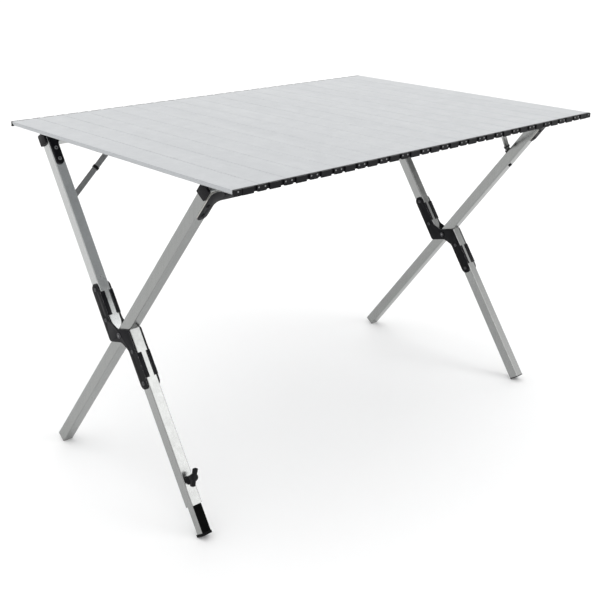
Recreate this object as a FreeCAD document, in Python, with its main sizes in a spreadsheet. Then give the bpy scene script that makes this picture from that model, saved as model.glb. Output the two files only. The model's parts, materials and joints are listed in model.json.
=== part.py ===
import FreeCAD, Part
import os
import Sketcher

# Folding camp table: a roll-up top of hinged aluminium slats on two crossed leg frames.
# Row frame: origin on the floor under the middle of the top, +X along the table, +Y across it
# towards the far side, +Z up. Millimetres and degrees throughout.
#
# Each leg frame is drawn in its own leg frame: origin on the scissor pin line, z up along the
# legs, y across them towards the far side, x along the table. Leaning that frame about the pin
# line puts it in place.

SIZES = {
    # roll-up top
    "table_height": 700, "table_width": 720, "slat_count": 18, "slat_pitch": 60.5, "slat_gap": 1,
    "slat_thick": 10, "slat_wall": 1.2, "slat_bevel": 0.5,
    # black ends of the slats: inner plate, outer bars and hinge links
    "end_plate": 3, "end_bar": 3, "plate_deep": 9.6, "bar_deep": 11.3, "bar_long": 25,
    "block_long": 16, "top_step": 0.2, "link_long": 22, "link_deep": 10.8, "link_gap": 0.3,
    "link_round": 3, "stud_inset": 6.5, "stud_depth": 3.5, "stud_r": 2, "stud_clear": 0.05,
    "spigot_long": 12, "spigot_clear": 0.15, "plate_round": 1.5,
    # square tube frames
    "tube_size": 24, "tube_wall": 1.5, "tube_corner": 2, "leg_inset": 21.5, "pivot_height": 327,
    "near_lean": 36.7, "far_lean": 33.8, "half_leg_offset": 26.5, "stop_clear": 0.3,
    "plug_flange": 2, "rail_cap": 5, "plug_long": 15, "plug_clear": 0.1,
    # corner plates, at the tops of the legs
    "corner_thick": 2.5, "far_plate_width": 18, "near_plate_width": 22, "near_plate_drop": 16.5,
    "corner_down": 63, "corner_along": 88, "corner_bend": 12, "corner_hole_a": 27, "corner_hole_b": 51,
    # corner stays, one on each leg frame, at opposite ends of the table
    "stay_width": 12, "stay_thick": 3, "near_stay_along": 174, "near_stay_down": 129,
    "far_stay_along": 208, "far_stay_down": 142,
    # cross brackets at the scissor pins
    "bracket_thick": 3, "bracket_reach": 104, "bracket_hole": 40, "bracket_relief": 0.4,
    "shoulder_up": 34, "waist_up": 14, "elbow_up": 1, "shoulder_bend": 20, "waist_bend": 15,
    "elbow_bend": 7, "relief_up": 16, "relief_neck": 40,
    "tab_thick": 1.8, "tab_wide": 7.5, "inner_tab_wide": 4.5, "tab_low": 46, "tab_high": 96,
    # fasteners
    "rivet_r": 2.2, "rivet_head_r": 4.2, "rivet_head": 1.2, "bolt_r": 2.5, "bolt_head_r": 4.5,
    "bolt_head": 2.5, "button_up": 283, "pin_r": 3.2, "pin_head_r": 5, "pin_head": 1.6, "pin_clear": 0.05,
    # adjustable foot of one leg
    "foot_size": 19, "foot_wall": 1.6, "foot_corner": 1, "foot_shown": 52, "foot_hidden": 92,
    "foot_cap_size": 22, "foot_cap": 5, "strip_thick": 0.8, "strip_wide": 19, "clamp_up": 48,
    "collar_r": 8, "collar_long": 4, "screw_r": 3, "screw_clear": 0.1, "stem_r": 5, "stem_long": 9,
    "wing_span": 34, "wing_thick": 9, "wing_tall": 13, "wing_turn": 34, "wing_round": 4,
}

doc = FreeCAD.newDocument("FoldingTable")
sheet = doc.addObject("Spreadsheet::Sheet", "Sizes")
for row, (alias, number) in enumerate(SIZES.items(), start=1):
    sheet.set(f"A{row}", alias)
    sheet.set(f"B{row}", str(number))
    sheet.setAlias(f"B{row}", alias)

# Lengths that follow from the driving dimensions.
derived = doc.addObject("App::VarSet", "Derived")
DERIVED = {
    "slat_width": "Sizes.slat_pitch - Sizes.slat_gap",
    "top_long": "Sizes.slat_pitch * Sizes.slat_count - Sizes.slat_gap",
    "half": "Sizes.tube_size / 2",
    "bore_half": "Sizes.tube_size / 2 - Sizes.tube_wall",
    # outer face of the legs, measured from the middle of the table
    "leg_out": "top_long / 2 - Sizes.leg_inset",
    "leg_mid": "leg_out - half",
    "leg_in": "leg_out - Sizes.tube_size",
    # the rounded upper corner of each leaning rail just touches the underside of the slats
    "slat_under": "Sizes.table_height - Sizes.slat_thick",
    "near_rise": "(half - Sizes.tube_corner) * (cos(Sizes.near_lean) + sin(Sizes.near_lean))"
                 " + Sizes.tube_corner",
    "far_rise": "(half - Sizes.tube_corner) * (cos(Sizes.far_lean) + sin(Sizes.far_lean))"
                " + Sizes.tube_corner",
    "near_rail": "(slat_under - Sizes.pivot_height - near_rise) / cos(Sizes.near_lean)",
    "far_rail": "(slat_under - Sizes.pivot_height - far_rise + Sizes.half_leg_offset"
                " * sin(Sizes.far_lean)) / cos(Sizes.far_lean)",
    # the lowest edge of each square-cut foot stands on the floor
    "near_foot": "(Sizes.pivot_height - half * sin(Sizes.near_lean)) / cos(Sizes.near_lean)",
    "far_foot": "(Sizes.pivot_height + (Sizes.half_leg_offset - half) * sin(Sizes.far_lean))"
                " / cos(Sizes.far_lean)",
    "slide_foot": "(Sizes.pivot_height + (Sizes.half_leg_offset - Sizes.foot_cap_size / 2)"
                  " * sin(Sizes.far_lean)) / cos(Sizes.far_lean)",
    # the half legs end short of the straight leg that they stop against
    "half_leg_end": "(half + Sizes.stop_clear - (Sizes.half_leg_offset - half)"
                    " * cos(Sizes.near_lean + Sizes.far_lean)) / sin(Sizes.near_lean + Sizes.far_lean)",
    # their ends are cut parallel to it, so the outer side reaches further than the inner
    "mitre": "Sizes.tube_size / tan(Sizes.near_lean + Sizes.far_lean)",
    "sleeve_end": "slide_foot - Sizes.foot_cap - Sizes.foot_shown",
    "clamp_at": "sleeve_end - Sizes.clamp_up",
}
for name, formula in DERIVED.items():
    derived.addProperty("App::PropertyFloat", name)
    derived.setExpression(name, formula)
doc.recompute()

S = "Sizes."
D = "Derived."
NODES = []


def node(shape, label):
    """Name a finished sub-part and put it on the list of those that are written."""
    shape.Label = label
    NODES.append(shape)
    return shape


def bind_place(thing, place):
    for axis, formula in zip("xyz", place):
        if formula != "0":
            thing.setExpression(f"Placement.Base.{axis}", formula)
    return thing


def lean(thing, frame):
    """Lean a piece drawn in a leg frame about the scissor pin line."""
    axis = FreeCAD.Vector(1 if frame == "near" else -1, 0, 0)
    thing.Placement = FreeCAD.Placement(FreeCAD.Vector(0, 0, 1), FreeCAD.Rotation(axis, 10))
    thing.setExpression("Placement.Base.z", "Sizes.pivot_height")
    thing.setExpression("Placement.Rotation.Angle", f"Sizes.{frame}_lean")
    return thing


def origin_plane(body, role):
    return next(f for f in body.Origin.OriginFeatures if f.Role == role)


def draw_outline(sketch, points):
    """Add a closed polygon whose corners are bound to pairs of formulas."""
    corners = []
    for across, up in points:
        corners.append((sketch.evalExpression(across), sketch.evalExpression(up)))
    first = sketch.GeometryCount
    count = len(points)
    for k, (x, y) in enumerate(corners):
        x2, y2 = corners[(k + 1) % count]
        sketch.addGeometry(Part.LineSegment(FreeCAD.Vector(x, y, 0), FreeCAD.Vector(x2, y2, 0)))
    for k in range(count):
        sketch.addConstraint(Sketcher.Constraint("Coincident", first + k, 2, first + (k + 1) % count, 1))
    for k, (across, up) in enumerate(points):
        for kind, formula, value in (("DistanceX", across, corners[k][0]),
                                     ("DistanceY", up, corners[k][1])):
            index = sketch.addConstraint(Sketcher.Constraint(kind, -1, 1, first + k, 1, value))
            sketch.setExpression(f"Constraints[{index}]", formula)


def draw_circle(sketch, across, up, radius):
    x, y = sketch.evalExpression(across), sketch.evalExpression(up)
    size = sketch.evalExpression(radius)
    index = sketch.addGeometry(Part.Circle(FreeCAD.Vector(x, y, 0), FreeCAD.Vector(0, 0, 1), size))
    for kind, formula, value in (("DistanceX", across, x), ("DistanceY", up, y)):
        at = sketch.addConstraint(Sketcher.Constraint(kind, -1, 1, index, 3, value))
        sketch.setExpression(f"Constraints[{at}]", formula)
    at = sketch.addConstraint(Sketcher.Constraint("Radius", index, size))
    sketch.setExpression(f"Constraints[{at}]", radius)


def number(formula):
    return float(sheet.evalExpression(formula))


def box_outline(low_a, high_a, low_b, high_b):
    return [(low_a, low_b), (high_a, low_b), (high_a, high_b), (low_a, high_b)]


def prism(name, plane, outlines, start, length, circles=(), rounding=None):
    """A body: outlines on an origin plane, padded along its normal from start.

    The XY plane's normal is +Z, the YZ plane's is +X and the XZ plane's is -Y.
    rounding is (radius formula, which), where which picks corners by their two sketch coordinates.
    """
    body = doc.addObject("PartDesign::Body", name)
    sketch = body.newObject("Sketcher::SketchObject", name + "_sketch")
    sketch.AttachmentSupport = [(origin_plane(body, plane + "_Plane"), "")]
    sketch.MapMode = "FlatFace"
    sketch.setExpression("AttachmentOffset.Base.z", start)
    for points in outlines:
        draw_outline(sketch, points)
    for circle in circles:
        draw_circle(sketch, *circle)
    pad = body.newObject("PartDesign::Pad", name + "_pad")
    pad.Profile = sketch
    pad.setExpression("Length", length)
    for step, (radius, corners) in enumerate(rounding or ()):
        doc.recompute()
        base = body.Tip
        names = long_edges(base.Shape, plane, [(number(a), number(b)) for a, b in corners])
        if len(names) != len(corners):
            raise RuntimeError(f"{name}: {len(names)} of {len(corners)} corners found to round")
        fillet = body.newObject("PartDesign::Fillet", f"{name}_round{step}")
        fillet.Base = (base, names)
        fillet.setExpression("Radius", radius)
    return body


def long_edges(shape, plane, corners):
    """Names of the edges along the pad's direction that stand on the given sketch corners."""
    pick = {"XY": lambda p: (p.x, p.y), "XZ": lambda p: (p.x, p.z), "YZ": lambda p: (p.y, p.z)}[plane]
    names = []
    for k, edge in enumerate(shape.Edges, start=1):
        ends = [pick(v.Point) for v in edge.Vertexes]
        if len(ends) != 2 or max(abs(a - b) for a, b in zip(*ends)) > 1e-6:
            continue
        if any(max(abs(ends[0][0] - a), abs(ends[0][1] - b)) < 1e-3 for a, b in corners):
            names.append(f"Edge{k}")
    return names


def tube(name, plane, mid_a, mid_b, start, length, size=S + "tube_size", wall=S + "tube_wall",
         corner=S + "tube_corner"):
    """A square tube with rounded outer corners, open at both ends."""
    outer = box_outline(*span(mid_a, f"{size} / 2"), *span(mid_b, f"{size} / 2"))
    inner = box_outline(*span(mid_a, f"({size} / 2 - {wall})"), *span(mid_b, f"({size} / 2 - {wall})"))
    return prism(name, plane, [outer, inner], start, length, rounding=[(corner, outer)])


def span(middle, half):
    return f"{middle} - {half}", f"{middle} + {half}"


def cut(name, base, tools):
    """Take the tools, such as rivets, out of a piece."""
    tool = tools[0]
    if len(tools) > 1:
        tool = doc.addObject("Part::Compound", name + "_tools")
        tool.Links = tools
    result = doc.addObject("Part::Cut", name)
    result.Base, result.Tool = base, tool
    return result


def group(name, pieces):
    result = doc.addObject("Part::Compound", name)
    result.Links = pieces
    return result


def copy_at(master, name, place, turn=None):
    """A copy of a master piece, turned and then moved to a place given by three formulas."""
    copy = group(name, [master])
    copy.Placement = FreeCAD.Placement(FreeCAD.Vector(), turn or FreeCAD.Rotation())
    return bind_place(copy, place)


def mirror_x(piece, name):
    result = doc.addObject("Part::Mirroring", name)
    result.Source, result.Normal = piece, FreeCAD.Vector(1, 0, 0)
    return result


def mirror_y(piece, name):
    result = doc.addObject("Part::Mirroring", name)
    result.Source, result.Normal = piece, FreeCAD.Vector(0, 1, 0)
    return result


def rod(name, radius, start, length):
    """A cylinder along z."""
    result = doc.addObject("Part::Cylinder", name)
    result.setExpression("Radius", radius)
    result.setExpression("Height", length)
    return bind_place(result, ("0", "0", start))


def fastener(name, shank_r, head_r, head, grip, heads=2):
    """A rivet, bolt or pin along z: the first head's underside is at z 0, the shank goes up."""
    parts = [rod(name + "_shank", shank_r, "0", grip), rod(name + "_head", head_r, f"-{head}", head)]
    if heads == 2:
        parts.append(rod(name + "_tail", head_r, grip, head))
    result = doc.addObject("Part::MultiFuse", name)
    result.Shapes = parts
    return result


TO_PLUS_Y = FreeCAD.Rotation(FreeCAD.Vector(1, 0, 0), -90)
TO_MINUS_Y = FreeCAD.Rotation(FreeCAD.Vector(1, 0, 0), 90)
TO_PLUS_X = FreeCAD.Rotation(FreeCAD.Vector(0, 1, 0), 90)

# ---- Roll-up top: slats, their black ends and the hinge links ----

slat_half = f"{D}slat_width / 2"
top = S + "table_height"
under = D + "slat_under"
extrusion_half = f"({S}table_width / 2 - {S}end_plate - {S}end_bar)"
rib_mid = f"({D}slat_width - {S}slat_wall) / 6"


def slat_master():
    """A flat extrusion with three chambers, along Y."""
    bevel = S + "slat_bevel"
    outline = [(f"-{slat_half}", under), (slat_half, under), (slat_half, f"{top} - {bevel}"),
               (f"{slat_half} - {bevel}", top), (f"-{slat_half} + {bevel}", top),
               (f"-{slat_half}", f"{top} - {bevel}")]
    lows = [(limits[side], limits[2]) for side, limits in zip((0, 1), chambers("0")[::2])]
    # the lower edges are round about the hinge studs, so a slat turns up without dipping
    return prism("slat_profile", "XZ", [outline] + [box_outline(*c) for c in chambers("0")],
                 f"-{extrusion_half}", f"2 * {extrusion_half}",
                 rounding=[(S + "stud_inset", outline[:2]), (f"{S}stud_inset - {S}slat_wall", lows)])


def chambers(clearance):
    """Limits of the slat's three chambers, drawn in by a clearance."""
    result = []
    for low, high in ((-3, -1), (-1, 1), (1, 3)):
        result.append((f"{low} * {rib_mid} + {S}slat_wall / 2 + {clearance}",
                       f"{high} * {rib_mid} - {S}slat_wall / 2 - {clearance}",
                       f"{under} + {S}slat_wall + {clearance}", f"{top} - {S}slat_wall - {clearance}"))
    return result


def slat_end_master(kind):
    """The near end piece of a slat: spigots, inner plate and outer bar, with stud holes.

    kind is first, middle or last: the table's two end slats have a block where others are hinged.
    """
    plate_top = f"{top} - {S}top_step"
    stud_at = f"({slat_half} - {S}stud_inset)"
    stud_up = f"{top} - {S}stud_depth"
    holes = []
    if kind != "first":
        holes.append((f"-{stud_at}", stud_up, f"{S}stud_r + {S}stud_clear"))
    if kind != "last":
        holes.append((stud_at, stud_up, S + "stud_r"))
    plate_out = f"({S}table_width / 2 - {S}end_bar)"
    outline = box_outline(f"-{slat_half}", slat_half, f"{top} - {S}plate_deep", plate_top)
    plate = prism(f"{kind}_end_plate", "XZ", [outline], extrusion_half, S + "end_plate", circles=holes,
                  rounding=[(S + "plate_round", outline[:2])])
    bar = prism(f"{kind}_end_bar", "XZ",
                [box_outline(f"-{S}bar_long / 2", f"{S}bar_long / 2", f"{top} - {S}bar_deep", plate_top)],
                plate_out, S + "end_bar")
    pieces = [plate, bar]
    spigot_round = f"{S}stud_inset - {S}slat_wall - {S}spigot_clear"
    for k, limits in enumerate(chambers(S + "spigot_clear")):
        corners = [(limits[k // 2], limits[2])] if k != 1 else []
        pieces.append(prism(f"{kind}_spigot{k}", "XZ", [box_outline(*limits)],
                            f"{extrusion_half} - {S}spigot_long", S + "spigot_long",
                            rounding=[(spigot_round, corners)] if corners else None))
    if kind != "middle":
        edges = (f"-{slat_half}", f"-{slat_half} + {S}block_long")
        if kind == "last":
            edges = (f"{slat_half} - {S}block_long", slat_half)
        pieces.append(prism(f"{kind}_end_block", "XZ",
                            [box_outline(*edges, f"{top} - {S}link_deep", plate_top)],
                            plate_out, S + "end_bar"))
    result = doc.addObject("Part::MultiFuse", f"{kind}_end")
    result.Shapes = pieces
    return result


def link_master():
    """The near hinge link over the joint after a slat, with its two studs."""
    joint = f"{S}slat_pitch / 2"
    outline = box_outline(*span(joint, f"{S}link_long / 2"), f"{top} - {S}link_deep", f"{top} - {S}top_step")
    plate = prism("link_plate", "XZ", [outline], f"{S}table_width / 2 - {S}end_bar + {S}link_gap",
                  f"{S}end_bar - {S}link_gap", rounding=[(S + "link_round", outline)])
    pieces = [plate]
    for side in (-1, 1):
        stud = doc.addObject("Part::Cylinder", f"link_stud_{'a' if side < 0 else 'b'}")
        stud.Placement = FreeCAD.Placement(FreeCAD.Vector(), TO_PLUS_Y)
        stud.setExpression("Radius", S + "stud_r")
        stud.setExpression("Height", f"{S}end_plate + {S}end_bar")
        reach = f"({S}slat_gap / 2 + {S}stud_inset)"
        pieces.append(bind_place(stud, (f"{joint} + {side} * {reach}", f"-{S}table_width / 2",
                                        f"{top} - {S}stud_depth")))
    result = doc.addObject("Part::MultiFuse", "link")
    result.Shapes = pieces
    return result


def build_top():
    slat = slat_master()
    link = link_master()
    ends = {kind: slat_end_master(kind) for kind in ("first", "middle", "last")}
    both_ends = {kind: group(f"{kind}_ends", [end, mirror_y(end, f"{kind}_end_far")])
                 for kind, end in ends.items()}
    links = group("links", [link, mirror_y(link, "link_far")])
    count = int(number(S + "slat_count"))
    for k in range(count):
        place = (f"{S}slat_pitch * ({k} - ({S}slat_count - 1) / 2)", "0", "0")
        kind = "first" if k == 0 else "last" if k == count - 1 else "middle"
        pieces = [both_ends[kind]] if kind == "last" else [both_ends[kind], links]
        node(copy_at(slat, f"slat{k}", place), f"slat_{k + 1:02d}")
        node(bind_place(group(f"slat_fittings{k}", pieces), place), f"slat_ends_{k + 1:02d}")


# ---- Fastener masters ----

wall = S + "tube_wall"
rivet = fastener("plate_rivet", S + "rivet_r", S + "rivet_head_r", S + "rivet_head",
                 f"{S}corner_thick + {wall}")
stay_bolt = fastener("stay_bolt", S + "bolt_r", S + "bolt_head_r", S + "bolt_head",
                     f"{S}stay_thick + {wall}")
leg_button = fastener("leg_button", S + "bolt_r", S + "bolt_head_r", S + "bolt_head", wall)
bracket_rivet = fastener("bracket_rivet", S + "rivet_r", S + "rivet_head_r", S + "rivet_head",
                         f"{S}tube_size + 2 * {S}bracket_thick")
scissor_pin = fastener("scissor_pin", S + "pin_r", S + "pin_head_r", S + "pin_head",
                       f"{S}tube_size + 2 * {S}bracket_thick + 2 * {S}bracket_relief")


def corner_rivets(frame, rail, near_face):
    """Rivets of the left top corner plate of a leg frame, in the leg frame."""
    made = []
    spots = [(f"-{D}leg_mid", f"{rail} - {S}corner_hole_{k}") for k in "ab"]
    spots += [(f"-{D}leg_mid + {S}corner_hole_{k}", rail) for k in "ab"]
    for k, (x, z) in enumerate(spots):
        made.append(copy_at(rivet, f"{frame}_rivet{k}", (x, f"{near_face} - {S}corner_thick", z), TO_PLUS_Y))
    return group(f"{frame}_corner_rivets", made)


def stay_bolts(frame, rail, far_face):
    """The two bolts of a stay at the left end of a leg frame."""
    spots = ((f"-{D}leg_mid", f"{rail} - {S}{frame}_stay_down"), (f"-{D}leg_out + {S}{frame}_stay_along", rail))
    return group(f"{frame}_stay_bolts", [
        copy_at(stay_bolt, f"{frame}_bolt{k}", (x, f"{far_face} + {S}stay_thick", z), TO_MINUS_Y)
        for k, (x, z) in enumerate(spots)])


def corner_plate(frame, rail, near_face, drop):
    """The flat black angle that joins a leg top to its rail, on the side that faces the sitter.

    drop is how far its arm along the rail reaches below the rail's middle.
    """
    half = f"{S}{frame}_plate_width / 2"
    left, right = span(f"-{D}leg_mid", half)
    low, high = f"{rail} - {drop}", f"{rail} + {half}"
    foot, end = f"{rail} - {S}corner_down", f"-{D}leg_out + {S}corner_along"
    outline = [(left, foot), (right, foot), (right, low), (end, low), (end, high), (left, high)]
    ends = [outline[0], outline[1], outline[3], outline[4]]
    start = f"-({near_face})"
    return prism(f"{frame}_corner_plate", "XZ", [outline], start, S + "corner_thick",
                 rounding=[(f"{half} - 0.1", ends), (S + "corner_bend", [outline[2]]),
                           (f"{half} - 0.1", [outline[5]])])


def corner_stay(frame, rail, far_face):
    """The flat bar that braces the corner, from a bolt through the leg to one through the rail."""
    dx = f"({S}{frame}_stay_along - {D}half)"
    dz = f"{S}{frame}_stay_down"
    reach = f"sqrt({dx} ^ 2 + {dz} ^ 2)"
    half = f"{S}stay_width / 2"
    outline = box_outline(f"-{half}", f"{reach} + {half}", f"-{half}", half)
    bar = prism(f"{frame}_stay_bar", "XZ", [outline], "0", S + "stay_thick",
                rounding=[(f"{half} - 0.1", outline)])
    turned = group(f"{frame}_stay_turned", [bar])
    turned.Placement = FreeCAD.Placement(FreeCAD.Vector(), FreeCAD.Rotation(FreeCAD.Vector(0, -1, 0), 10))
    turned.setExpression("Placement.Rotation.Angle", f"atan({dz} / {dx})")
    return bind_place(turned, (f"-{D}leg_mid", f"{far_face} + {S}stay_thick", f"{rail} - {dz}"))


def square_plug(name, flange, long=S + "plug_long"):
    """A plastic plug for a tube end, along +z: flange below z 0, spigot above it."""
    half = D + "half"
    spigot_half = f"({D}bore_half - {S}plug_clear)"
    outline = box_outline(f"-{half}", half, f"-{half}", half)
    head = prism(name + "_flange", "XY", [outline], f"-{flange}", flange,
                 rounding=[(S + "tube_corner", outline)])
    spigot = prism(name + "_spigot", "XY",
                   [box_outline(f"-{spigot_half}", spigot_half, f"-{spigot_half}", spigot_half)], "0", long)
    result = doc.addObject("Part::MultiFuse", name)
    result.Shapes = [head, spigot]
    return result


foot_plug = square_plug("foot_plug", S + "plug_flange")
rail_plug = square_plug("rail_plug", S + "rail_cap")


def rail_plugs(frame, middle, rail):
    left = copy_at(rail_plug, f"{frame}_rail_plug", (f"-{D}leg_out", middle, rail), TO_PLUS_X)
    return [left, mirror_x(left, f"{frame}_rail_plug_right")]


def pair(piece, name):
    """A left piece and its mirror image on the right, as one group."""
    return group(name, [piece, mirror_x(piece, name + "_mirror")])


def build_near_frame():
    """The rail on the near side and its two straight legs, which run down to the far side."""
    rail = D + "near_rail"
    near_face, far_face = f"-{D}half", D + "half"
    button = copy_at(leg_button, "right_leg_button", (D + "leg_mid", near_face, S + "button_up"), TO_PLUS_Y)
    corners = pair(corner_rivets("near", rail, near_face), "near_corner_fixings")
    bolts = mirror_x(stay_bolts("near", rail, far_face), "right_stay_bolts")
    fixings = group("near_fixings", [corners, bolts, button])
    pins = pair(copy_at(scissor_pin, "left_pin",
                        (f"-{D}leg_out - {S}bracket_thick - {S}bracket_relief", "0", "0"), TO_PLUS_X),
                "both_pins")
    holes = [fixings, pins]
    raw_rail = tube("near_rail_tube", "YZ", "0", rail, f"-{D}leg_out", f"2 * {D}leg_out")
    node(lean(cut("near_rail", raw_rail, holes), "near"), "rail_near")
    bottom = f"-({D}near_foot - {S}plug_flange)"
    for side, sign in (("left", "-"), ("right", "")):
        raw_leg = tube(f"straight_{side}_tube", "XY", f"{sign}{D}leg_mid", "0", bottom,
                       f"{rail} - {D}half - ({bottom})")
        node(lean(cut(f"straight_{side}", raw_leg, holes), "near"), f"straight_leg_{side}")
    plug = copy_at(foot_plug, "near_foot_plug", (f"-{D}leg_mid", "0", bottom))
    plugs = rail_plugs("near", "0", rail) + [plug, mirror_x(plug, "near_foot_plug_right")]
    node(lean(group("near_plugs", plugs), "near"), "end_plugs_near")
    plates = pair(corner_plate("near", rail, near_face, S + "near_plate_drop"), "near_plates")
    node(lean(cut("near_plates_drilled", plates, holes), "near"), "corner_plates_near")
    stay = mirror_x(corner_stay("near", rail, far_face), "right_near_stay")
    node(lean(cut("near_stay_drilled", stay, holes), "near"), "corner_stay_near")
    node(lean(group("near_fasteners", [fixings]), "near"), "rivets_near")
    node(lean(group("scissor_pins", [pins]), "near"), "scissor_pins")


def bracket_plate(name, start, inside):
    """One Z-shaped plate of a left cross bracket, lying across x from start towards +x.

    Its two tabs are bent over the half legs. inside is True for the plate nearer the table's middle,
    whose relieved face and tabs look the other way.
    """
    half = D + "half"
    inner, outer = f"({S}half_leg_offset - {half})", f"({S}half_leg_offset + {half})"
    arm = f"({S}bracket_reach + {half})"
    # half of the outline, from the top arm round to the elbow; the rest is its half turn
    points = [(outer, arm), (inner, arm), (inner, S + "shoulder_up"), ("0", S + "waist_up"),
              (f"-{outer}", S + "elbow_up")]
    outline = points + [(f"-({a})", f"-({b})") for a, b in points]
    rounding = [(f"{half} - 0.1", [outline[0], outline[1], outline[5], outline[6]]),
                (S + "shoulder_bend", [outline[2], outline[7]]),
                (S + "waist_bend", [outline[3], outline[8]]),
                (S + "elbow_bend", [outline[4], outline[9]])]
    blank = prism(name + "_blank", "YZ", [outline], start, S + "bracket_thick",
                  circles=[("0", "0", f"{S}pin_r + {S}pin_clear")], rounding=rounding)
    wide = S + ("inner_tab_wide" if inside else "tab_wide")
    tab_start = f"{start} - {wide}" if inside else start
    tab_long = f"{S}bracket_thick + {wide}"
    tabs = []
    for place, side, low in (("upper", inner, S + "tab_low"), ("lower", f"-{outer}", f"-{S}tab_high")):
        limits = (f"{side} - {S}tab_thick", side, low, f"{low} + {S}tab_high - {S}tab_low")
        tabs.append(prism(f"{name}_{place}_tab", "YZ", [box_outline(*limits)], tab_start, tab_long))
    whole = doc.addObject("Part::MultiFuse", name + "_bent")
    whole.Shapes = [blank] + tabs
    # shallow relief, so that the straight leg turns without rubbing
    relief_start = start if inside else f"{start} + {S}bracket_thick - {S}bracket_relief"
    reach = f"({outer} + 1)"
    neck = f"({inner} - 1)"
    relief = doc.addObject("Part::MultiFuse", name + "_relief")
    relief.Shapes = [
        prism(f"{name}_relief_{kind}", "YZ",
              [box_outline(f"-{across}", across, f"-{S}{up}", S + up)], relief_start, S + "bracket_relief")
        for kind, across, up in (("wide", reach, "relief_up"), ("tall", neck, "relief_neck"))]
    return cut(name + "_relieved", whole, [relief])


def clamp_pieces():
    """The collar on the left lower half leg, and the wing knob with its screw, in the far leg frame."""
    face = f"-({S}half_leg_offset + {D}half)"
    place = (f"-{D}leg_mid", face, f"-{D}clamp_at")
    collar = rod("collar_disc", S + "collar_r", "0", S + "collar_long")
    screw_tip = f"{D}half - {S}foot_size / 2 - {S}strip_thick - {S}screw_clear"
    screw = rod("clamp_screw", S + "screw_r", f"-({screw_tip})",
                f"{screw_tip} + {S}collar_long + {S}stem_long")
    stem = rod("knob_stem", S + "stem_r", f"{S}collar_long + {S}screw_clear", f"{S}stem_long + 2")
    wings = prism("knob_wings", "XY",
                  [box_outline(f"-{S}wing_span / 2", f"{S}wing_span / 2",
                               f"-{S}wing_thick / 2", f"{S}wing_thick / 2")],
                  f"{S}collar_long + {S}stem_long", S + "wing_tall",
                  rounding=[(S + "wing_round", box_outline(f"-{S}wing_span / 2", f"{S}wing_span / 2",
                                                          f"-{S}wing_thick / 2", f"{S}wing_thick / 2"))])
    turned = group("knob_wings_turned", [wings])
    turned.Placement = FreeCAD.Placement(FreeCAD.Vector(), FreeCAD.Rotation(FreeCAD.Vector(0, 0, 1), 10))
    turned.setExpression("Placement.Rotation.Angle", f"90 - {S}wing_turn")
    knob = doc.addObject("Part::MultiFuse", "knob")
    knob.Shapes = [screw, stem, turned]
    clearance = rod("screw_hole", f"{S}screw_r + {S}screw_clear", f"-{D}half", f"{D}half + {S}collar_long")
    return [copy_at(piece, name, place, TO_MINUS_Y)
            for piece, name in ((collar, "collar_placed"), (knob, "knob_placed"), (clearance, "hole_placed"))]


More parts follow.
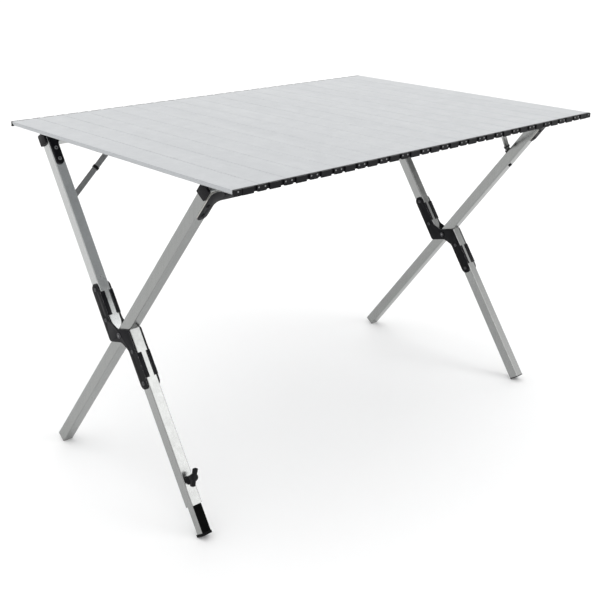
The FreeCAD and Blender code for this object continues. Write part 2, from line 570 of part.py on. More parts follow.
def build_far_frame():
    """The rail on the far side, its four half legs and the cross brackets that join them in pairs."""
    rail, middle = D + "far_rail", S + "half_leg_offset"
    near_face, far_face = f"{middle} - {D}half", f"({middle} + {D}half)"
    corner = corner_rivets("far", rail, near_face)
    bracket_out = f"-{D}leg_out - {S}bracket_thick"
    rivets = [copy_at(bracket_rivet, f"bracket_rivet_{where}{k}",
                      (bracket_out, f"{sign}{middle}", f"{sign}{S}{distance}"), TO_PLUS_X)
              for where, sign in (("upper", ""), ("lower", "-"))
              for k, distance in enumerate(("bracket_reach", "bracket_hole"))]
    fixings = group("far_fixings", [pair(group("left_far_fixings", [corner] + rivets), "both_far_fixings"),
                                    stay_bolts("far", rail, far_face)])
    collar, knob, screw_hole = clamp_pieces()
    reach = f"({D}half + {S}stop_clear)"
    along = f"4 * {D}half"
    space = prism("straight_leg_space", "YZ", [box_outline(f"-{reach}", reach, "-" + along, along)],
                  f"-{D}leg_out", f"2 * {D}leg_out")
    mitre_tool = group("mitre_tool", [space])
    mitre_tool.Placement = FreeCAD.Placement(FreeCAD.Vector(), FreeCAD.Rotation(FreeCAD.Vector(1, 0, 0), 10))
    mitre_tool.setExpression("Placement.Rotation.Angle", f"{S}near_lean + {S}far_lean")

    inner_end = f"({D}half_leg_end - {D}mitre)"
    raw_rail = tube("far_rail_tube", "YZ", middle, rail, f"-{D}leg_out", f"2 * {D}leg_out")
    node(lean(cut("far_rail", raw_rail, [fixings]), "far"), "rail_far")
    for side, sign in (("left", "-"), ("right", "")):
        raw = tube(f"upper_{side}_tube", "XY", f"{sign}{D}leg_mid", middle, inner_end,
                   f"{rail} - {D}half - {inner_end}")
        node(lean(cut(f"upper_{side}", raw, [fixings, mitre_tool]), "far"), f"upper_leg_{side}")
    plugs = rail_plugs("far", middle, rail)
    for side, sign, end in (("left", "-", D + "sleeve_end"),
                            ("right", "", f"({D}far_foot - {S}plug_flange)")):
        raw = tube(f"lower_{side}_tube", "XY", f"{sign}{D}leg_mid", f"-{middle}", f"-{end}",
                   f"{end} - {inner_end}")
        tools = [fixings, mitre_tool] + ([screw_hole] if side == "left" else [])
        node(lean(cut(f"lower_{side}", raw, tools), "far"), f"lower_leg_{side}")
        if side == "right":
            plugs.append(copy_at(foot_plug, "far_foot_plug", (D + "leg_mid", f"-{middle}", f"-{end}")))
    node(lean(group("far_plugs", plugs), "far"), "end_plugs_far")
    plates = pair(corner_plate("far", rail, near_face, S + "far_plate_width / 2"), "far_plates")
    node(lean(cut("far_plates_drilled", plates, [fixings]), "far"), "corner_plates_far")
    stay = corner_stay("far", rail, far_face)
    node(lean(cut("far_stay_drilled", stay, [fixings]), "far"), "corner_stay_far")
    left = group("left_bracket", [bracket_plate("outer_plate", bracket_out, False),
                                  bracket_plate("inner_plate", f"-{D}leg_in", True)])
    for side, bracket in (("left", left), ("right", mirror_x(left, "right_bracket"))):
        node(lean(cut(f"{side}_bracket_drilled", bracket, [fixings]), "far"), f"cross_bracket_{side}")
    node(lean(group("far_fasteners", [fixings]), "far"), "rivets_far")
    node(lean(cut("collar_bored", collar, [screw_hole]), "far"), "clamp_collar")
    node(lean(group("knob_piece", [knob]), "far"), "clamp_knob")


def build_sliding_foot():
    """The inner tube that slides in the left lower half leg, its wear strip and its foot."""
    middle = f"-{S}half_leg_offset"
    cap_top = f"-({D}slide_foot - {S}foot_cap)"
    length = f"{S}foot_shown + {S}foot_hidden"
    inner = tube("foot_inner_tube", "XY", f"-{D}leg_mid", middle, cap_top, length,
                 S + "foot_size", S + "foot_wall", S + "foot_corner")
    node(lean(group("foot_tube_piece", [inner]), "far"), "foot_tube")
    face = f"{middle} - {S}foot_size / 2"
    strip = prism("wear_strip", "XY",
                  [box_outline(*span(f"-{D}leg_mid", f"{S}strip_wide / 2"), f"{face} - {S}strip_thick", face)],
                  cap_top, length)
    node(lean(group("foot_strip_piece", [strip]), "far"), "foot_strip")
    half = S + "foot_cap_size / 2"
    spigot_half = f"({S}foot_size / 2 - {S}foot_wall - {S}plug_clear)"
    cap = doc.addObject("Part::MultiFuse", "foot_cap_whole")
    cap.Shapes = [
        prism("foot_cap_flange", "XY", [box_outline(*span(f"-{D}leg_mid", half), *span(middle, half))],
              f"-{D}slide_foot", S + "foot_cap"),
        prism("foot_cap_spigot", "XY",
              [box_outline(*span(f"-{D}leg_mid", spigot_half), *span(middle, spigot_half))],
              cap_top, S + "plug_long")]
    node(lean(group("foot_cap_piece", [cap]), "far"), "foot_cap")


def check_and_write():
    """Stop if anything in the document failed, then write each sub-part to its own file."""
    doc.recompute()
    failed = [o.Label for o in doc.Objects if "Invalid" in o.State or "Error" in o.State]
    if failed:
        raise RuntimeError("failed: " + ", ".join(failed))
    os.makedirs("parts", exist_ok=True)
    for piece in NODES:
        if piece.Shape.isNull() or not piece.Shape.isValid():
            raise RuntimeError("bad shape: " + piece.Label)
        piece.Shape.exportStep(f"parts/{piece.Label}.step")
    print(len(NODES), "sub-parts written")


build_top()
build_near_frame()
build_far_frame()
build_sliding_foot()
check_and_write()
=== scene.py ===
import bmesh
import bpy
import json
import math
from mathutils import Matrix, Vector


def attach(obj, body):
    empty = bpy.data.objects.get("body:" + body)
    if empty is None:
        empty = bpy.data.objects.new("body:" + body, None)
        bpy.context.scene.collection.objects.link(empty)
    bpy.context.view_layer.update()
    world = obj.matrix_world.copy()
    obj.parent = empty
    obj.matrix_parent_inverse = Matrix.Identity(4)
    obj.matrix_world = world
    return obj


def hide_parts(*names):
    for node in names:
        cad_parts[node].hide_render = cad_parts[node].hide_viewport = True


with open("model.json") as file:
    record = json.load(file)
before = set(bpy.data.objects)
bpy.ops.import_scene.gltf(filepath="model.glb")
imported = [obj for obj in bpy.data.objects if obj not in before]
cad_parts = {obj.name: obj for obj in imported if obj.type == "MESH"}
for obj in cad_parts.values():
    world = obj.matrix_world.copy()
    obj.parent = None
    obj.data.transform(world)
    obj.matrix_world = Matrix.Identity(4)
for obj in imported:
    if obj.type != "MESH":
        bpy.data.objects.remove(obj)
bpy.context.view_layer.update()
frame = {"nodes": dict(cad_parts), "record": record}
print("frame loaded")

mm = 0.001

# the two leg frames lean about the pin line, 327 mm up
legFrames = {
    "near": Matrix.Translation((0, 0, 0.327)) @ Matrix.Rotation(math.radians(36.7), 4, "X"),
    "far": Matrix.Translation((0, 0, 0.327)) @ Matrix.Rotation(math.radians(-33.8), 4, "X"),
}


# ---------- materials ----------

def newLook(name, metallic=0.0, roughness=0.5, color=(0.5, 0.5, 0.5), specular=0.5, ior=1.5):
    look = bpy.data.materials.new(name)
    look.use_nodes = True
    shader = look.node_tree.nodes["Principled BSDF"]
    shader.inputs["Base Color"].default_value = (*color, 1)
    shader.inputs["Metallic"].default_value = metallic
    shader.inputs["Roughness"].default_value = roughness
    shader.inputs["Specular IOR Level"].default_value = specular
    shader.inputs["IOR"].default_value = ior
    return look, look.node_tree, shader


def node(tree, kind, **settings):
    made = tree.nodes.new("ShaderNode" + kind)
    for name, value in settings.items():
        if hasattr(made, name):
            setattr(made, name, value)
        else:
            made.inputs[name.replace("_", " ")].default_value = value
    return made


def placedCoords(tree, turn=(0, 0, 0), scale=(1, 1, 1)):
    coords = node(tree, "TexCoord")
    mapping = node(tree, "Mapping", Rotation=turn, Scale=scale)
    tree.links.new(coords.outputs["Object"], mapping.inputs["Vector"])
    return mapping.outputs["Vector"]


def noise(tree, vector, scale, detail=3.0, roughness=0.5):
    made = node(tree, "TexNoise", Scale=scale, Detail=detail, Roughness=roughness)
    tree.links.new(vector, made.inputs["Vector"])
    return made.outputs["Fac"]


def ramp(tree, value, low, high, lowColor, highColor):
    made = node(tree, "ValToRGB")
    made.color_ramp.elements[0].position = low
    made.color_ramp.elements[1].position = high
    made.color_ramp.elements[0].color = (*lowColor, 1)
    made.color_ramp.elements[1].color = (*highColor, 1)
    tree.links.new(value, made.inputs["Fac"])
    return made.outputs["Color"]


def spread(tree, value, low, high, fromLow=0.3, fromHigh=0.7):
    made = node(tree, "MapRange")
    for name, number in (("From Min", fromLow), ("From Max", fromHigh), ("To Min", low), ("To Max", high)):
        made.inputs[name].default_value = number
    tree.links.new(value, made.inputs["Value"])
    return made.outputs["Result"]


def multiply(tree, a, b):
    made = node(tree, "Mix", data_type="RGBA", blend_type="MULTIPLY")
    made.inputs["Factor"].default_value = 1.0
    tree.links.new(a, made.inputs[6])
    tree.links.new(b, made.inputs[7])
    return made.outputs[2]


def bump(tree, height, strength, distance, shader):
    made = node(tree, "Bump", Strength=strength, Distance=distance)
    tree.links.new(height, made.inputs["Height"])
    tree.links.new(made.outputs["Normal"], shader.inputs["Normal"])


anodised = {"color": (0.37, 0.377, 0.37), "dark": 0.93, "rough": (0.20, 0.28), "fine": 420,
            "streak": 14, "bump": 0.05}


def drawnAluminium(name, along, turn=(0, 0, 0), color=anodised["color"]):
    # satin anodised extrusion: fine die lines along the length, faint clouding and handling marks
    s = anodised
    look, tree, shader = newLook(name, metallic=1.0, color=color)
    scale = [s["fine"]] * 3
    scale[along] = s["fine"] / 180
    lines = noise(tree, placedCoords(tree, turn, scale), 1.0, detail=2.0)
    clouds = noise(tree, placedCoords(tree), s["streak"], detail=4.0)
    marks = noise(tree, placedCoords(tree, (0.3, 0.2, 0.5), (60, 60, 60)), 1.0, detail=6.0, roughness=0.7)
    tone = ramp(tree, lines, 0.30, 0.70, tuple(c * s["dark"] for c in color), color)
    cloudTone = ramp(tree, clouds, 0.25, 0.75, (0.96, 0.96, 0.96), (1, 1, 1))
    tree.links.new(multiply(tree, tone, cloudTone), shader.inputs["Base Color"])
    tree.links.new(spread(tree, marks, *s["rough"]), shader.inputs["Roughness"])
    bump(tree, lines, s["bump"], 0.0004, shader)
    return look


brushed = {"color": (0.485, 0.498, 0.51), "dark": 0.955, "rough": (0.33, 0.43), "fine": 520, "bump": 0.04}


def slatAluminium(name):
    # satin anodised and brushed along the slats
    s = brushed
    look, tree, shader = newLook(name, metallic=1.0, color=s["color"])
    lines = noise(tree, placedCoords(tree, (0, 0, 0), (s["fine"], s["fine"] / 160, s["fine"])), 1.0, detail=2.0)
    bands = noise(tree, placedCoords(tree, (0, 0, 0), (16.5, 1.2, 16.5)), 1.0, detail=3.0)
    marks = noise(tree, placedCoords(tree), 38, detail=6.0, roughness=0.7)
    tone = ramp(tree, lines, 0.30, 0.70, tuple(c * s["dark"] for c in s["color"]), s["color"])
    bandTone = ramp(tree, bands, 0.3, 0.7, (0.95, 0.952, 0.957), (1, 1, 1))
    tree.links.new(multiply(tree, tone, bandTone), shader.inputs["Base Color"])
    tree.links.new(spread(tree, marks, *s["rough"]), shader.inputs["Roughness"])
    bump(tree, lines, s["bump"], 0.0004, shader)
    return look


powder = {"color": (0.003, 0.003, 0.0042), "high": (0.007, 0.007, 0.009), "grain": 1800,
          "rough": (0.36, 0.5)}


def powderCoat(name):
    # thin black powder coat with a fine orange peel
    s = powder
    look, tree, shader = newLook(name, roughness=0.4, color=s["color"], ior=1.2)
    grain = noise(tree, placedCoords(tree), s["grain"], detail=2.0)
    wide = noise(tree, placedCoords(tree), 45, detail=4.0)
    tree.links.new(ramp(tree, wide, 0.35, 0.7, s["color"], s["high"]), shader.inputs["Base Color"])
    tree.links.new(spread(tree, wide, *s["rough"]), shader.inputs["Roughness"])
    bump(tree, grain, 0.12, 0.0002, shader)
    return look


def edgeWearAndHighlight(name):
    # the coat rubbed thin along the edges of plates and tabs; its lighter, shinier colour is partly wear and
    # partly a painted highlight along the edges
    look, tree, shader = newLook(name, metallic=0.6, roughness=0.25, color=(0.10, 0.10, 0.105))
    rubAndHighlight = noise(tree, placedCoords(tree), 160, detail=5.0, roughness=0.7)
    tree.links.new(ramp(tree, rubAndHighlight, 0.35, 0.72, (0.03, 0.03, 0.034), (0.42, 0.42, 0.42)),
                   shader.inputs["Base Color"])
    tree.links.new(spread(tree, rubAndHighlight, 0.2, 0.35), shader.inputs["Roughness"])
    return look


def mouldedBlack(name, color=(0.004, 0.004, 0.005), rough=(0.38, 0.55), grain=2600, ior=1.22):
    # moulded plastic, spark-eroded grain, slightly dusty in patches
    look, tree, shader = newLook(name, roughness=0.5, color=color, ior=ior)
    spark = node(tree, "TexVoronoi", Scale=grain)
    tree.links.new(placedCoords(tree), spark.inputs["Vector"])
    dust = noise(tree, placedCoords(tree), 70, detail=5.0, roughness=0.65)
    lifted = tuple(c * 1.8 + 0.002 for c in color)
    tree.links.new(ramp(tree, dust, 0.42, 0.78, color, lifted), shader.inputs["Base Color"])
    tree.links.new(spread(tree, dust, *rough), shader.inputs["Roughness"])
    bump(tree, spark.outputs["Distance"], 0.08, 0.0002, shader)
    return look


def zincSteel(name, color=(0.52, 0.52, 0.51)):
    look, tree, shader = newLook(name, metallic=1.0, roughness=0.3, color=color)
    spangle = noise(tree, placedCoords(tree), 900, detail=3.0)
    tree.links.new(ramp(tree, spangle, 0.3, 0.7, tuple(c * 0.8 for c in color), color),
                   shader.inputs["Base Color"])
    tree.links.new(spread(tree, spangle, 0.22, 0.38), shader.inputs["Roughness"])
    bump(tree, spangle, 0.05, 0.0002, shader)
    return look


looks = {
    "top": slatAluminium("brushedTop"),
    "rail": drawnAluminium("drawnRail", 0),
    # the leg materials are one aluminium in copies of different brightness: the darker near-leg copy is painted
    # shade, the pale copy is painted light
    "nearLeg": drawnAluminium("drawnNearLeg", 2, turn=(math.radians(-36.7), 0, 0),
                              color=(0.32, 0.326, 0.32)),
    "farLeg": drawnAluminium("drawnFarLeg", 2, turn=(math.radians(33.8), 0, 0), color=(0.345, 0.35, 0.345)),
    "paleLeg": drawnAluminium("drawnPaleLeg", 2, turn=(math.radians(33.8), 0, 0),
                              color=(0.52, 0.53, 0.525)),
    "stay": drawnAluminium("drawnStay", 0, color=(0.30, 0.30, 0.295)),
    "plate": powderCoat("blackPowder"),
    "plastic": mouldedBlack("blackMoulded"),
    "chain": mouldedBlack("chainMoulded", color=(0.002, 0.002, 0.003), rough=(0.34, 0.5)),
    "rubber": mouldedBlack("footRubber", color=(0.005, 0.005, 0.005), rough=(0.6, 0.8), grain=1500,
                           ior=1.15),
    "greyPlug": mouldedBlack("greyPlug", color=(0.19, 0.19, 0.185), rough=(0.45, 0.6)),
    "edge": edgeWearAndHighlight("plateEdge"),
    # the strip in the foot tube's slot is coloured darker and duller than the other plastics: painted shade of
    # the slot's interior
    "strip": mouldedBlack("stripMoulded", color=(0.0012, 0.0012, 0.0012), rough=(0.6, 0.75), ior=1.1),
    "steel": zincSteel("zincSteel"),
    "darkSteel": zincSteel("darkSteel", color=(0.24, 0.24, 0.245)),
    "cutEdge": zincSteel("cutEdge", color=(0.50, 0.49, 0.46)),
    "blackSteel": zincSteel("blackSteel", color=(0.075, 0.075, 0.08)),
}

# the straight legs take the darker copy as painted shade, the left upper leg the pale copy as painted light
lookOfNode = {
    "rail_near": "rail", "rail_far": "rail", "straight_leg_left": "nearLeg", "straight_leg_right": "nearLeg",
    "upper_leg_left": "paleLeg", "upper_leg_right": "farLeg", "lower_leg_left": "farLeg",
    "lower_leg_right": "farLeg", "foot_tube": "farLeg", "corner_stay_near": "stay",
    "corner_stay_far": "stay", "corner_plates_near": "plate", "corner_plates_far": "plate",
    "cross_bracket_left": "plate", "cross_bracket_right": "plate", "rivets_near": "steel",
    "rivets_far": "steel", "scissor_pins": "steel", "foot_cap": "rubber", "foot_strip": "strip",
}
slotOf = {s["node"]: s["material_slot"] for s in frame["record"]["subparts"]}
bodyOf = {n: body for body, names in frame["record"]["behaviour"]["bodies"].items() for n in names}
for name, shown in frame["nodes"].items():
    kind = lookOfNode.get(name)
    if kind is None:
        kind = {"top_aluminium": "top", "slat_end_plastic": "chain"}.get(slotOf[name], "plastic")
    shown.data.materials.clear()
    shown.data.materials.append(looks[kind])
print("materials on the frame")


# ---------- pieces softened from the frame's own shapes ----------

def finishPiece(bm, name, body, replaced, materials, smoothBelow=40):
    mesh = bpy.data.meshes.new(name)
    bm.normal_update()
    for face in bm.faces:
        face.smooth = True
    for edge in bm.edges:
        edge.smooth = len(edge.link_faces) == 2 and edge.calc_face_angle(0) < math.radians(smoothBelow)
    bm.to_mesh(mesh)
    bm.free()
    for look in materials:
        mesh.materials.append(look)
    piece = bpy.data.objects.new(name, mesh)
    bpy.context.collection.objects.link(piece)
    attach(piece, body)
    if replaced:
        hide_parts(*replaced)
    return piece


def mergedCopy(nodeName):
    # the frame's shape as a closed mesh with flat faces in one piece
    bm = bmesh.new()
    bm.from_mesh(frame["nodes"][nodeName].data)
    bmesh.ops.remove_doubles(bm, verts=bm.verts, dist=2e-6)
    bmesh.ops.dissolve_limit(bm, angle_limit=math.radians(0.6), verts=bm.verts, edges=bm.edges)
    return bm


def softenEdges(bm, width, segments=2, sharper=38):
    sharp = [e for e in bm.edges if len(e.link_faces) == 2
             and abs(e.calc_face_angle_signed(0)) > math.radians(sharper)]
    return bmesh.ops.bevel(bm, geom=sharp, offset=width, offset_type="OFFSET", affect="EDGES",
                           segments=segments, profile=0.5, material=-1, clamp_overlap=True)["faces"]


softened = {
    "corner_plates_near": (0.4, 2), "corner_plates_far": (0.4, 2), "cross_bracket_left": (0.55, 2),
    "cross_bracket_right": (0.55, 2), "rivets_near": (0.8, 3), "rivets_far": (0.8, 3),
    "scissor_pins": (0.9, 3),
    "end_plugs_near": (0.6, 2), "end_plugs_far": (0.6, 2), "foot_cap": (0.6, 2),
    "corner_stay_near": (0.3, 2), "corner_stay_far": (0.3, 2),
}


def camelCase(words):
    first, *rest = words.split("_")
    return first + "".join(w.title() for w in rest)


# radius and depth of the hollow in a head
hollows = {"cornerScrew": (1.5, 0.9), "bracketRivet": (1.3, 0.5), "pin": (2.2, 0.5)}


def dimpleHeads(bm, direction, reach, depth, paint):
    # a recess in the flat of every head that faces direction
    facing = [f for f in bm.faces
              if len(f.verts) > 11 and f.normal.dot(direction) > 0.999 and f.calc_area() < 6e-5]
    for head in facing:
        radius = math.sqrt(head.calc_area() / math.pi)
        bmesh.ops.inset_region(bm, faces=[head], thickness=radius - reach * mm, use_even_offset=True)
        inner = bmesh.ops.inset_region(bm, faces=[head], thickness=0.15 * mm, depth=-depth * mm,
                                       use_even_offset=True)["faces"]
        for face in [head] + inner:
            face.material_index = paint


for name, (width, segments) in softened.items():
    bm = mergedCopy(name)
    edges = softenEdges(bm, width * mm, segments)
    materials = [looks[lookOfNode.get(name, "plastic")]]
    frameTurn = legFrames["near" if bodyOf[name] == "near_frame" else "far"].to_3x3()
    if name.startswith(("corner_plates", "cross_bracket")):
        materials.append(looks["edge"])
        # the bevelled edges take the rubbed coat, lighter than the plate: partly wear, partly a painted
        # highlight
        for face in edges:
            face.material_index = 1
    if name == "corner_plates_near":
        # the cut edges are bare metal
        materials.append(looks["cutEdge"])
        bm.normal_update()
        for face in bm.faces:
            if face.material_index == 0 and abs(face.normal.dot(frameTurn @ Vector((0, 1, 0)))) < 0.3:
                face.material_index = 2
    if name.startswith("rivets"):
        # screws on the corner plates, bright stay bolts, blackened rivets on the cross brackets
        materials = [looks["steel"], looks["darkSteel"], looks["blackSteel"], looks["plastic"]]
        near = "near" in name
        for face in bm.faces:
            local = legFrames["near" if near else "far"].inverted() @ face.calc_center_median()
            if abs(local.z) < 0.2:
                face.material_index = 2
            elif local.y < (0 if near else 0.03):
                face.material_index = 3 if near else 1
        bm.normal_update()
        # the hollows in the screw and rivet heads are painted black plastic: painted shade in the recess
        dimpleHeads(bm, frameTurn @ Vector((0, -1, 0)), *hollows["cornerScrew"], 3)
        for across in (1, -1):
            dimpleHeads(bm, Vector((across, 0, 0)), *hollows["bracketRivet"], 3)
    if name == "scissor_pins":
        materials = [looks["blackSteel"], looks["darkSteel"]]
        bm.normal_update()
        for across in (1, -1):
            dimpleHeads(bm, Vector((across, 0, 0)), *hollows["pin"], 1)
    if name == "end_plugs_near":
        materials.append(looks["greyPlug"])
        for face in bm.faces:
            if face.calc_center_median().z < 0.2:
                face.material_index = 1
    finishPiece(bm, camelCase(name), bodyOf[name], [name], materials)
print("plates, plugs and rivets softened")


# ---------- wing knob of the adjustable foot ----------

knob = {"x": -510.5, "face": -38.5, "up": -298.89, "turn": 34, "screw": 3, "stem": 5, "hub": 7.2,
        "hubTall": 12.5, "lift": 13, "lobeReach": 17, "lobeWide": 8.6, "lobeTall": 11}


def addTurned(bm, profile, steps=32):
    # a turned solid about Z from (radius, height) points, its ends closed on the axis
    verts = [bm.verts.new((r * mm, 0, z * mm)) for r, z in profile]
    edges = [bm.edges.new(pair) for pair in zip(verts, verts[1:])]
    bmesh.ops.spin(bm, geom=verts + edges, cent=(0, 0, 0), axis=(0, 0, 1), angle=math.tau, steps=steps,
                   use_merge=True)
    bmesh.ops.remove_doubles(bm, verts=bm.verts, dist=1e-6)


def addLobe(bm, side):
    # one wing, a block drawn out from the hub, wider at its tip and with soft edges
    s = knob
    made = bmesh.ops.create_cube(bm, size=1)["verts"]
    bmesh.ops.scale(bm, vec=(s["lobeReach"] * mm, s["lobeWide"] * mm, s["lobeTall"] * mm), verts=made)
    bmesh.ops.translate(bm, vec=(side * s["lobeReach"] / 2 * mm, 0, (s["lift"] + s["lobeTall"] / 2 + 1) * mm),
                        verts=made)
    for vert in made:
        if abs(vert.co.x) < 1 * mm:
            vert.co.y *= 0.72
        else:
            vert.co.z += 0.5 * mm if vert.co.z > (s["lift"] + 6) * mm else 0.8 * mm
    edges = list({e for v in made for e in v.link_edges})
    bmesh.ops.bevel(bm, geom=edges, offset=2.6 * mm, offset_type="OFFSET", affect="EDGES", segments=4,
                    profile=0.5, material=-1, clamp_overlap=True)


bm = bmesh.new()
s = knob
hubTop = s["lift"] + s["hubTall"]
addTurned(bm, [(0, -6), (s["screw"], -6), (s["screw"], 4.2), (s["stem"], 4.2), (s["stem"], s["lift"] - 1),
               (s["hub"] - 0.8, s["lift"]), (s["hub"], s["lift"] + 1), (s["hub"], hubTop - 2),
               (s["hub"] - 1.6, hubTop - 0.3), (s["hub"] - 3, hubTop), (0, hubTop)])
for side in (-1, 1):
    addLobe(bm, side)
bmesh.ops.recalc_face_normals(bm, faces=bm.faces)
# the knob's axis points out of the leg's near face
outward = Matrix.Rotation(math.radians(90), 4, "X")
spun = Matrix.Rotation(math.radians(90 - s["turn"]), 4, "Z")
place = legFrames["far"] @ Matrix.Translation((s["x"] * mm, s["face"] * mm, s["up"] * mm)) @ outward @ spun
bmesh.ops.transform(bm, matrix=place, verts=bm.verts)
finishPiece(bm, "wingKnob", "knob", ["clamp_knob"], [looks["plastic"]], smoothBelow=50)
print("knob made")


# ---------- flared collar under the knob ----------

flare = {"base": 8.0, "skirt": 1.4, "neck": 5.6, "tall": 4.2, "slip": -2.5}
bm = bmesh.new()
s = flare
addTurned(bm, [(0, 0), (s["base"], 0), (s["base"], s["skirt"] * 0.6), (s["base"] - 0.5, s["skirt"]),
               (s["neck"] + 0.4, s["tall"] - 0.5), (s["neck"] - 0.2, s["tall"]), (0, s["tall"])])
bmesh.ops.recalc_face_normals(bm, faces=bm.faces)
place = legFrames["far"] @ Matrix.Translation((knob["x"] * mm, knob["face"] * mm, knob["up"] * mm)) @ outward
for vert in bm.verts:
    if vert.co.z < s["skirt"] * mm * 1.01:
        vert.co.y += s["slip"] * mm
bmesh.ops.transform(bm, matrix=place, verts=bm.verts)
finishPiece(bm, "flaredCollar", bodyOf["clamp_collar"], ["clamp_collar"],
            [looks["plastic"]])
print("flared collar made")


# ---------- collars on the corner stays ----------

stays = {
    "near": {"side": 1, "away": 174, "down": 129, "rail": 432.8, "face": 13.5, "at": (10, 40)},
    "far": {"side": -1, "away": 208, "down": 142, "rail": 435.47, "face": 40.0, "at": (114,)},
}
collar = {"long": 7, "wide": 14.4, "thick": 5.6, "edge": 1.0}
for which, s in stays.items():
    bm = bmesh.new()
    run, rise = s["away"] - 12, s["down"]
    length = math.hypot(run, rise)
    turn = Matrix.Rotation(math.atan2(rise, run) * s["side"], 4, "Y")
    for distance in s["at"]:
        made = bmesh.ops.create_cube(bm, size=1)["verts"]
        bmesh.ops.scale(bm, vec=(collar["long"] * mm, collar["thick"] * mm, collar["wide"] * mm), verts=made)
        edges = list({e for v in made for e in v.link_edges})
        rounded = bmesh.ops.bevel(bm, geom=edges, offset=collar["edge"] * mm, offset_type="OFFSET",
                                  affect="EDGES", segments=3, profile=0.5, material=-1, clamp_overlap=True)
        made = list({v for f in rounded["faces"] for v in f.verts})
        spot = Vector((s["side"] * (510.5 - run * distance / length), s["face"],
                       s["rail"] - rise + rise * distance / length)) * mm
        bmesh.ops.transform(bm, matrix=legFrames[which] @ Matrix.Translation(spot) @ turn, verts=made)
    finishPiece(bm, "stayCollars" + which.title(), which + "_frame", [], [looks["plastic"]])
print("stay collars made")


# ---------- chain along the long edges ----------

chain = {"recess": 0.6, "edge": 0.35, "headRadius": 2.1, "headHeight": 0.6, "sides": 12, "pitch": 60.5,
         "studInset": 6.5, "studDepth": 3.5}


def addStudHead(bm, x, side):
    # a low domed head, its back hidden in the link
    s = chain
    reach = 0.36 - s["recess"] * mm
    made = bmesh.ops.create_cone(bm, cap_ends=True, segments=s["sides"], radius1=s["headRadius"] * mm,
                                 radius2=s["headRadius"] * 0.55 * mm, depth=(s["headHeight"] + 0.4) * mm)
    turn = Matrix.Rotation(math.radians(90 if side < 0 else -90), 4, "X")
    middle = side * (reach + (s["headHeight"] - 0.4) / 2 * mm)
    bmesh.ops.transform(bm, matrix=Matrix.Translation((x, middle, 0.7 - s["studDepth"] * mm)) @ turn,
                        verts=made["verts"])
    for face in {f for v in made["verts"] for f in v.link_faces}:
        face.material_index = 1


for k in range(1, 19):
    name = f"slat_ends_{k:02d}"
    bm = mergedCopy(name)
    for vert in bm.verts:
        if abs(vert.co.y) > 0.3598:
            vert.co.y -= math.copysign(chain["recess"] * mm, vert.co.y)
    softenEdges(bm, chain["edge"] * mm, 1)
    joint = (k - 9) * chain["pitch"] * mm
    if k < 18:
        spots = [joint - 7 * mm, joint + 7 * mm]
    else:
        spots = [joint - chain["pitch"] / 2 * mm + 21.75 * mm]
    if k == 1:
        spots.append(joint - chain["pitch"] / 2 * mm - 21.75 * mm)
    for x in spots:
        for side in (-1, 1):
            addStudHead(bm, x, side)
    finishPiece(bm, f"slatEnds{k:02d}", bodyOf[name], [name],
                [looks["chain"], looks["darkSteel"]])
print("chain made")


# ---------- floor, light and camera ----------

studio = {"floor": 30.0, "floorColor": (0.985, 0.985, 0.985), "sky": 1.28, "left": 0.6,
          "shade": (0.70, -0.30, 0.65), "shadeLevel": 0.02, "keyPower": 9.5, "keySize": 1.3,
          "keyPlace": (1.48, -2.23, 1.61)}

bm = bmesh.new()
bmesh.ops.create_grid(bm, x_segments=1, y_segments=1, size=studio["floor"])
floorMesh = bpy.data.meshes.new("floor")
bm.to_mesh(floorMesh)
bm.free()
floor = bpy.data.objects.new("floor", floorMesh)
bpy.context.collection.objects.link(floor)
floorLook, _, _ = newLook("paleFloor", roughness=0.75, color=studio["floorColor"], specular=0.2)
floorMesh.materials.append(floorLook)

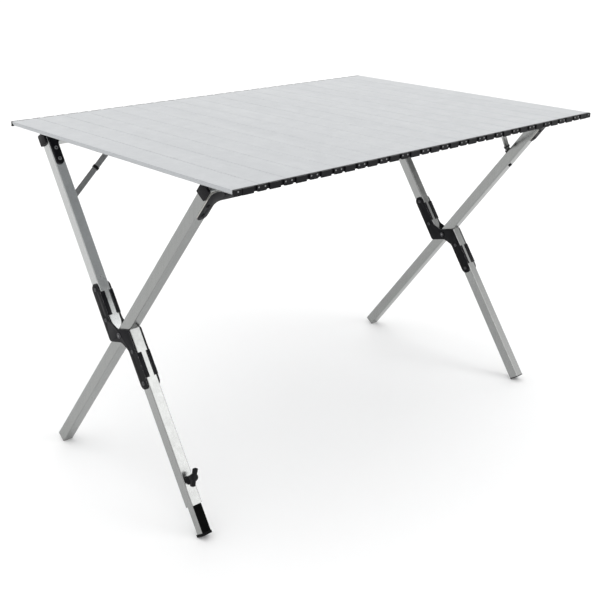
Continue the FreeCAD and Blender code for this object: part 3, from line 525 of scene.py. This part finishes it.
world = bpy.data.worlds.new("studio")
bpy.context.scene.world = world
world.use_nodes = True
worldTree = world.node_tree
background = worldTree.nodes["Background"]
direction = node(worldTree, "TexCoord")
parts = node(worldTree, "SeparateXYZ")
worldTree.links.new(direction.outputs["Generated"], parts.inputs["Vector"])
leftSide = spread(worldTree, parts.outputs["X"], studio["left"], studio["sky"], -0.85, -0.15)
above = spread(worldTree, parts.outputs["Z"], 0.0, 1.0, 0.15, 0.7)
brighter = node(worldTree, "Mix", data_type="FLOAT")
worldTree.links.new(above, brighter.inputs["Factor"])
worldTree.links.new(leftSide, brighter.inputs["A"])
brighter.inputs["B"].default_value = studio["sky"]
facing = node(worldTree, "VectorMath", operation="DOT_PRODUCT")
worldTree.links.new(direction.outputs["Generated"], facing.inputs[0])
facing.inputs[1].default_value = Vector(studio["shade"]).normalized()
# a dark flag to one side
shade = spread(worldTree, facing.outputs["Value"], 1.0, studio["shadeLevel"], 0.935, 0.962)
flagged = node(worldTree, "Math", operation="MULTIPLY")
worldTree.links.new(brighter.outputs["Result"], flagged.inputs[0])
worldTree.links.new(shade, flagged.inputs[1])
worldTree.links.new(flagged.outputs["Value"], background.inputs["Color"])
background.inputs["Strength"].default_value = 1.0

key = bpy.data.lights.new("keyLight", "AREA")
key.energy = studio["keyPower"]
key.size = studio["keySize"]
keyLight = bpy.data.objects.new("keyLight", key)
keyLight.visible_camera = False
keyLight.location = studio["keyPlace"]
keyLight.rotation_euler = (Vector((0, 0, 0.4)) - keyLight.location).to_track_quat("-Z", "Y").to_euler()
bpy.context.collection.objects.link(keyLight)

view = {"place": (-1.53972, -1.49886, 1.11165), "turn": 0.83455, "pitch": -0.24448, "roll": 0.01457,
        "focal": 987.125, "shift": (48 / 600, -130 / 600)}

ahead = Vector((math.cos(view["pitch"]) * math.cos(view["turn"]),
                math.cos(view["pitch"]) * math.sin(view["turn"]), math.sin(view["pitch"])))
across = ahead.cross(Vector((0, 0, 1))).normalized()
upward = across.cross(ahead)
c, s = math.cos(view["roll"]), math.sin(view["roll"])
right, up = c * across + s * upward, c * upward - s * across
lens = bpy.data.cameras.new("camera")
lens.sensor_width = 36
lens.lens = view["focal"] / 600 * 36
lens.shift_x, lens.shift_y = view["shift"]
lens.dof.use_dof = False
camera = bpy.data.objects.new("camera", lens)
camera.matrix_world = Matrix.Translation(view["place"]) @ Matrix((right, up, -ahead)).transposed().to_4x4()
bpy.context.collection.objects.link(camera)
scene = bpy.context.scene
scene.camera = camera
scene.view_settings.view_transform = "Standard"
scene.view_settings.look = "None"
print("floor, light and camera set")
